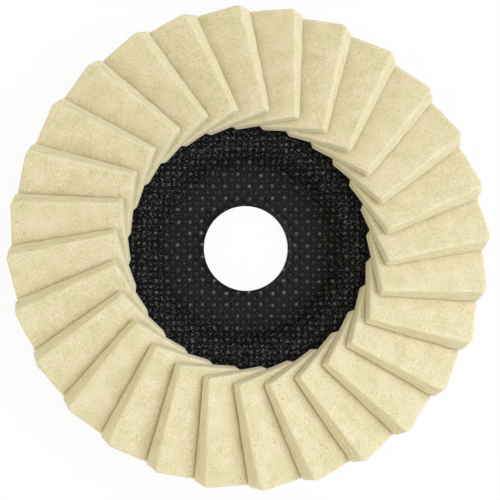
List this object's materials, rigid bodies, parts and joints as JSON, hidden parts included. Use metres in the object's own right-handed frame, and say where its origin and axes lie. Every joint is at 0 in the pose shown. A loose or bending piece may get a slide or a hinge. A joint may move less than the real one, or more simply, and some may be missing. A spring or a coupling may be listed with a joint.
{
  "type": "felt flap disc",
  "caption": "Felt flap disc for an angle grinder: overlapping strips of cream pressed wool felt round a dished black fibreglass backing plate.",
  "frame": {"origin": "middle of the bore on the back face of the hub", "axes": "+Z along the bore, out of the working side; +Y to the first flap; flaps follow one another clockwise seen from +Z"},
  "size_m": [0.1258, 0.1258, 0.0198],
  "materials": {
    "felt": "matt pressed wool",
    "fibreglass": "resin-bonded glass weave, satin",
    "epoxy": "cured resin"
  },
  "bodies": {
    "root": {"backing_plate": "fibreglass", "adhesive_bed": "epoxy", "flap_01": "felt", "flap_02": "felt", "flap_03": "felt", "flap_04": "felt", "flap_05": "felt", "flap_06": "felt", "flap_07": "felt", "flap_08": "felt", "flap_09": "felt", "flap_10": "felt", "flap_11": "felt", "flap_12": "felt", "flap_13": "felt", "flap_14": "felt", "flap_15": "felt", "flap_16": "felt", "flap_17": "felt", "flap_18": "felt", "flap_19": "felt", "flap_20": "felt", "flap_21": "felt", "flap_22": "felt", "flap_23": "felt", "flap_24": "felt", "flap_25": "felt", "flap_26": "felt", "flap_27": "felt", "flap_28": "felt"}
  },
  "joints": []
}
